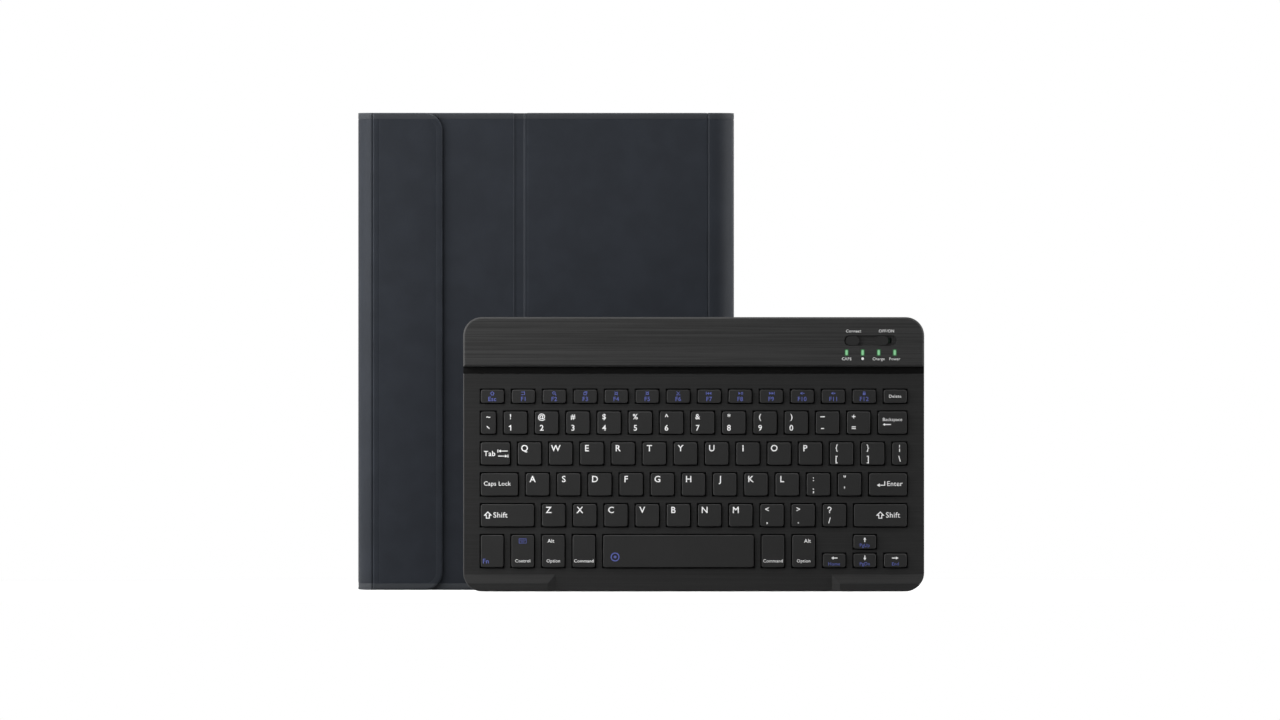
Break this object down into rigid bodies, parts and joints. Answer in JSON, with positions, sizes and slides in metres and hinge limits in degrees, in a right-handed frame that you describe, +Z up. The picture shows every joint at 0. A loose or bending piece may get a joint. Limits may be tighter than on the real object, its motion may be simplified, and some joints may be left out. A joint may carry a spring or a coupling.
{
  "type": "tablet keyboard case",
  "caption": "Folding leather tablet case with a closing flap, inner tablet tray and a detachable wireless keyboard that stands in front of it.",
  "frame": {"origin": "on the floor, under the middle of the case and keyboard together", "axes": "+X to the right as the front cover is seen, +Y away from the viewer towards the back cover, +Z up"},
  "size_m": [0.3046, 0.1164, 0.2575],
  "materials": {
    "leather": "matte dark slate leather",
    "board": "grey board",
    "lining": "fine brushed lining",
    "steel": "plain",
    "magnet": "nickel plated",
    "tray": "satin moulded",
    "housing": "horizontally brushed look, satin",
    "keys": "satin",
    "groove": "matte",
    "dome": "translucent",
    "film": "printed film",
    "circuit": "solder resist",
    "cell": "foil",
    "lens": "lit green",
    "control": "satin",
    "feet": "matte"
  },
  "bodies": {
    "front_panel": {"front_skin": "leather", "front_board": "board", "front_lining": "lining", "crease_strip": "leather", "cover_magnets": "magnet"},
    "fold_panel": {"fold_skin": "leather", "fold_board": "board", "fold_lining": "lining", "closure_plates": "steel"},
    "spine": {"spine_skin": "leather", "spine_lining": "lining"},
    "back_panel": {"back_skin": "leather", "back_board": "board", "back_lining": "lining", "tablet_tray": "tray"},
    "edge_band": {"edge_skin": "leather", "edge_lining": "lining"},
    "flap": {"flap_skin": "leather", "flap_board": "board", "flap_lining": "lining", "flap_magnets": "magnet"},
    "keyboard": {"bottom_cover": "housing", "key_deck": "housing", "front_lips": "housing", "rear_housing": "housing", "groove_strip": "groove", "support_plate": "steel", "key_membrane": "film", "dome_sheet": "dome", "circuit_board": "circuit", "battery_cell": "cell", "charge_socket": "steel", "indicator_lenses": "lens", "rubber_feet": "feet", "cover_screws": "steel", "keyboard_magnets": "magnet"},
    "power_knob": {"power_knob": "control"},
    "pair_button": {"pair_button": "control"},
    "key_space": {"key_space": "keys"},
    "key_enter": {"key_enter": "keys"},
    "key_shift_left": {"key_shift_left": "keys"},
    "key_shift_right": {"key_shift_right": "keys"},
    "key_caps": {"key_caps": "keys"},
    "key_tab": {"key_tab": "keys"},
    "key_backspace": {"key_backspace": "keys"},
    "keys_function_left": {"keys_function_left": "keys"},
    "keys_function_right": {"keys_function_right": "keys"},
    "keys_number_left": {"keys_number_left": "keys"},
    "keys_number_right": {"keys_number_right": "keys"},
    "keys_upper_left": {"keys_upper_left": "keys"},
    "keys_upper_right": {"keys_upper_right": "keys"},
    "keys_brackets": {"keys_brackets": "keys"},
    "keys_home_left": {"keys_home_left": "keys"},
    "keys_home_right": {"keys_home_right": "keys"},
    "keys_lower_left": {"keys_lower_left": "keys"},
    "keys_lower_right": {"keys_lower_right": "keys"},
    "keys_modifier_left": {"keys_modifier_left": "keys"},
    "keys_modifier_right": {"keys_modifier_right": "keys"},
    "keys_arrow_row": {"keys_arrow_row": "keys"},
    "key_arrow_up": {"key_arrow_up": "keys"}
  },
  "joints": [
    {"name": "case_opening", "type": "hinge", "parent": "front_panel", "child": "spine", "pos_m": [0.03675, 0.034, 0], "axis": [0, 0, -1], "range_deg": [0, 90]},
    {"name": "case_opening_back", "type": "hinge", "parent": "spine", "child": "back_panel", "pos_m": [0.03675, 0.0584, 0], "axis": [0, 0, -1], "range_deg": [0, 90]},
    {"name": "cover_fold", "type": "hinge", "parent": "front_panel", "child": "fold_panel", "pos_m": [-0.0646, 0.0339, 0], "axis": [0, 0, 1], "range_deg": [0, 170]},
    {"name": "edge_swing", "type": "hinge", "parent": "back_panel", "child": "edge_band", "pos_m": [-0.14425, 0.0584, 0], "axis": [0, 0, -1], "range_deg": [0, 90]},
    {"name": "flap_swing", "type": "hinge", "parent": "edge_band", "child": "flap", "pos_m": [-0.14455, 0.0316, 0], "axis": [0, 0, -1], "range_deg": [0, 90]},
    {"name": "keyboard_lift", "type": "slide", "parent": "front_panel", "child": "keyboard", "axis": [0, 0, 1], "range_m": [0, 0.15]},
    {"name": "pair_press", "type": "slide", "parent": "keyboard", "child": "pair_button", "axis": [0, 1, 0], "range_m": [0, 0.0005], "stiffness_N_per_m": 400},
    {"name": "power_slide", "type": "slide", "parent": "keyboard", "child": "power_knob", "axis": [1, 0, 0], "range_m": [0, 0.004]},
    {"name": "press_space", "type": "slide", "parent": "keyboard", "child": "key_space", "axis": [0, 1, 0], "range_m": [0, 0.0012], "stiffness_N_per_m": 400, "deforming": ["dome_sheet"]},
    {"name": "press_enter", "type": "slide", "parent": "keyboard", "child": "key_enter", "axis": [0, 1, 0], "range_m": [0, 0.0012], "stiffness_N_per_m": 400, "deforming": ["dome_sheet"]},
    {"name": "press_shift_left", "type": "slide", "parent": "keyboard", "child": "key_shift_left", "axis": [0, 1, 0], "range_m": [0, 0.0012], "stiffness_N_per_m": 400, "deforming": ["dome_sheet"]},
    {"name": "press_shift_right", "type": "slide", "parent": "keyboard", "child": "key_shift_right", "axis": [0, 1, 0], "range_m": [0, 0.0012], "stiffness_N_per_m": 400, "deforming": ["dome_sheet"]},
    {"name": "press_caps", "type": "slide", "parent": "keyboard", "child": "key_caps", "axis": [0, 1, 0], "range_m": [0, 0.0012], "stiffness_N_per_m": 400, "deforming": ["dome_sheet"]},
    {"name": "press_tab", "type": "slide", "parent": "keyboard", "child": "key_tab", "axis": [0, 1, 0], "range_m": [0, 0.0012], "stiffness_N_per_m": 400, "deforming": ["dome_sheet"]},
    {"name": "press_backspace", "type": "slide", "parent": "keyboard", "child": "key_backspace", "axis": [0, 1, 0], "range_m": [0, 0.0012], "stiffness_N_per_m": 400, "deforming": ["dome_sheet"]},
    {"name": "press_function_left", "type": "slide", "parent": "keyboard", "child": "keys_function_left", "axis": [0, 1, 0], "range_m": [0, 0.0012], "stiffness_N_per_m": 400, "deforming": ["dome_sheet"]},
    {"name": "press_function_right", "type": "slide", "parent": "keyboard", "child": "keys_function_right", "axis": [0, 1, 0], "range_m": [0, 0.0012], "stiffness_N_per_m": 400, "deforming": ["dome_sheet"]},
    {"name": "press_number_left", "type": "slide", "parent": "keyboard", "child": "keys_number_left", "axis": [0, 1, 0], "range_m": [0, 0.0012], "stiffness_N_per_m": 400, "deforming": ["dome_sheet"]},
    {"name": "press_number_right", "type": "slide", "parent": "keyboard", "child": "keys_number_right", "axis": [0, 1, 0], "range_m": [0, 0.0012], "stiffness_N_per_m": 400, "deforming": ["dome_sheet"]},
    {"name": "press_upper_left", "type": "slide", "parent": "keyboard", "child": "keys_upper_left", "axis": [0, 1, 0], "range_m": [0, 0.0012], "stiffness_N_per_m": 400, "deforming": ["dome_sheet"]},
    {"name": "press_upper_right", "type": "slide", "parent": "keyboard", "child": "keys_upper_right", "axis": [0, 1, 0], "range_m": [0, 0.0012], "stiffness_N_per_m": 400, "deforming": ["dome_sheet"]},
    {"name": "press_brackets", "type": "slide", "parent": "keyboard", "child": "keys_brackets", "axis": [0, 1, 0], "range_m": [0, 0.0012], "stiffness_N_per_m": 400, "deforming": ["dome_sheet"]},
    {"name": "press_home_left", "type": "slide", "parent": "keyboard", "child": "keys_home_left", "axis": [0, 1, 0], "range_m": [0, 0.0012], "stiffness_N_per_m": 400, "deforming": ["dome_sheet"]},
    {"name": "press_home_right", "type": "slide", "parent": "keyboard", "child": "keys_home_right", "axis": [0, 1, 0], "range_m": [0, 0.0012], "stiffness_N_per_m": 400, "deforming": ["dome_sheet"]},
    {"name": "press_lower_left", "type": "slide", "parent": "keyboard", "child": "keys_lower_left", "axis": [0, 1, 0], "range_m": [0, 0.0012], "stiffness_N_per_m": 400, "deforming": ["dome_sheet"]},
    {"name": "press_lower_right", "type": "slide", "parent": "keyboard", "child": "keys_lower_right", "axis": [0, 1, 0], "range_m": [0, 0.0012], "stiffness_N_per_m": 400, "deforming": ["dome_sheet"]},
    {"name": "press_modifier_left", "type": "slide", "parent": "keyboard", "child": "keys_modifier_left", "axis": [0, 1, 0], "range_m": [0, 0.0012], "stiffness_N_per_m": 400, "deforming": ["dome_sheet"]},
    {"name": "press_modifier_right", "type": "slide", "parent": "keyboard", "child": "keys_modifier_right", "axis": [0, 1, 0], "range_m": [0, 0.0012], "stiffness_N_per_m": 400, "deforming": ["dome_sheet"]},
    {"name": "press_arrow_row", "type": "slide", "parent": "keyboard", "child": "keys_arrow_row", "axis": [0, 1, 0], "range_m": [0, 0.0012], "stiffness_N_per_m": 400, "deforming": ["dome_sheet"]},
    {"name": "press_arrow_up", "type": "slide", "parent": "keyboard", "child": "key_arrow_up", "axis": [0, 1, 0], "range_m": [0, 0.0012], "stiffness_N_per_m": 400, "deforming": ["dome_sheet"]}
  ],
  "couplings": [
    {"joint": "case_opening_back", "follows": "case_opening", "ratio": 1}
  ]
}
